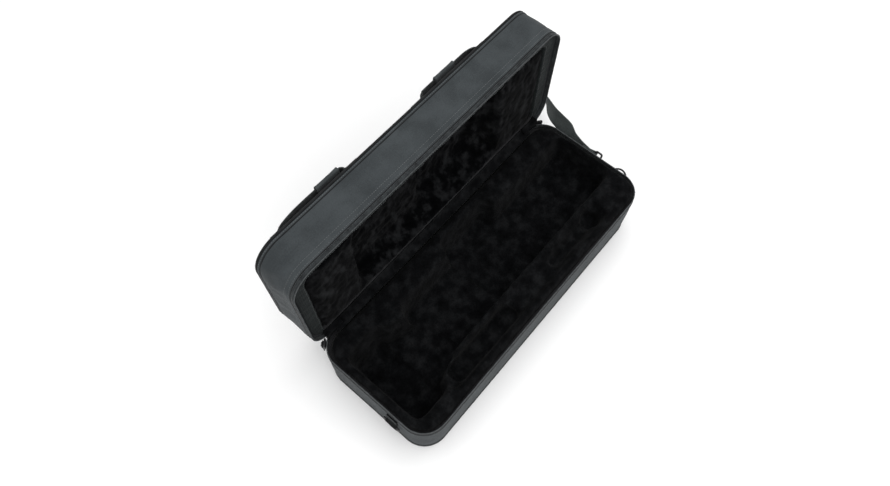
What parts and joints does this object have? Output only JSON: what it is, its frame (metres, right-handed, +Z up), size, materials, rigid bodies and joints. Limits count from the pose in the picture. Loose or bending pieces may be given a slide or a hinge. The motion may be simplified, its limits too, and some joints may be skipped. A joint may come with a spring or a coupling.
{
  "type": "instrument case",
  "caption": "Soft-sided zip case for a brass instrument, lid upright on a fabric hinge, with plush wells, carry loops, end rings and a hooked shoulder strap.",
  "frame": {"origin": "centre of the flat underside of the base, on the floor", "axes": "+X along the case's length, +Y from the front edge to the hinge, +Z up; the lid stands upright at rest"},
  "size_m": [0.6405, 0.3089, 0.331],
  "materials": {
    "cover_weave": "woven nylon, matt",
    "piping_cord": "bound cord welt, matt",
    "foam_board": "closed-cell foam, matt",
    "black_plush": "short pile plush",
    "rim_facing": "woven facing, matt",
    "zip_tape": "woven zip tape",
    "zip_coil": "nylon coil teeth, satin",
    "black_metal": "black coated metal, satin",
    "webbing": "flat woven webbing",
    "sleeve_fabric": "folded fabric sleeve",
    "strap_webbing": "flat woven webbing"
  },
  "bodies": {
    "base": {"base_bottom_panel": "cover_weave", "base_piping": "piping_cord", "base_cover": "cover_weave", "base_shell": "foam_board", "base_lining": "black_plush", "base_zip_tape": "zip_tape", "base_zip_teeth": "zip_coil", "hinge_strip_base": "zip_tape", "left_ring_tab": "webbing", "right_ring_tab": "webbing", "shoulder_strap": "strap_webbing", "right_hook": "black_metal", "right_hook_swivel": "black_metal", "free_hook": "black_metal", "free_hook_swivel": "black_metal"},
    "lid": {"lid_top_panel": "cover_weave", "lid_piping": "piping_cord", "lid_cover": "cover_weave", "lid_shell": "foam_board", "lid_rim_pad": "rim_facing", "lid_lining": "black_plush", "lid_zip_tape": "zip_tape", "lid_zip_teeth": "zip_coil", "hinge_strip_lid": "zip_tape", "left_carry_loop": "webbing", "right_carry_loop": "webbing"},
    "left_sleeve": {"left_loop_sleeve": "sleeve_fabric"},
    "right_sleeve": {"right_loop_sleeve": "sleeve_fabric"},
    "left_end_ring": {"left_ring": "black_metal"},
    "right_end_ring": {"right_ring": "black_metal"},
    "left_slider": {"left_zip_slider": "black_metal"},
    "right_slider": {"right_zip_slider": "black_metal"},
    "left_pull": {"left_zip_pull": "black_metal"},
    "right_pull": {"right_zip_pull": "black_metal"},
    "right_gate": {"right_hook_gate": "black_metal"},
    "free_gate": {"free_hook_gate": "black_metal"}
  },
  "joints": [
    {"name": "lid_hinge", "type": "hinge", "parent": "base", "child": "lid", "pos_m": [0, 0.1112, 0.1088], "axis": [1, 0, 0], "range_deg": [-90, 90]},
    {"name": "left_sleeve_slide", "type": "slide", "parent": "lid", "child": "left_sleeve", "axis": [1, 0, 0], "range_m": [-0.024, 0.002]},
    {"name": "right_sleeve_slide", "type": "slide", "parent": "lid", "child": "right_sleeve", "axis": [1, 0, 0], "range_m": [-0.018, 0.018]},
    {"name": "left_ring_swing", "type": "hinge", "parent": "base", "child": "left_end_ring", "pos_m": [-0.2796, -0.045, 0.062], "axis": [0, 1, 0], "range_deg": [-6, 150]},
    {"name": "right_ring_swing", "type": "hinge", "parent": "base", "child": "right_end_ring", "pos_m": [0.2796, -0.058, 0.062], "axis": [0, -1, 0], "range_deg": [-8, 8]},
    {"name": "left_slider_travel", "type": "hinge", "parent": "base", "child": "left_slider", "pos_m": [-0.235, 0.07, 0.1], "axis": [0, 0, 1], "range_deg": [0, 45]},
    {"name": "right_slider_travel", "type": "hinge", "parent": "base", "child": "right_slider", "pos_m": [0.235, 0.07, 0.1], "axis": [0, 0, -1], "range_deg": [0, 20]},
    {"name": "left_pull_swing", "type": "hinge", "parent": "left_slider", "child": "left_pull", "pos_m": [-0.26438, 0.10501, 0.0975], "axis": [0.766, 0.6428, 0], "range_deg": [-5, 100]},
    {"name": "right_pull_swing", "type": "hinge", "parent": "right_slider", "child": "right_pull", "pos_m": [0.26438, 0.10501, 0.0975], "axis": [0.766, -0.6428, 0], "range_deg": [-5, 100]},
    {"name": "right_gate_hinge", "type": "hinge", "parent": "base", "child": "right_gate", "pos_m": [0.2839, -0.0331, 0.07055], "axis": [0.866, 0, 0.5], "range_deg": [0, 25], "stiffness_Nm_per_rad": 0.02},
    {"name": "free_gate_hinge", "type": "hinge", "parent": "base", "child": "free_gate", "pos_m": [0.02915, 0.16525, 0.0043], "axis": [0, 0, 1], "range_deg": [0, 25], "stiffness_Nm_per_rad": 0.02}
  ]
}
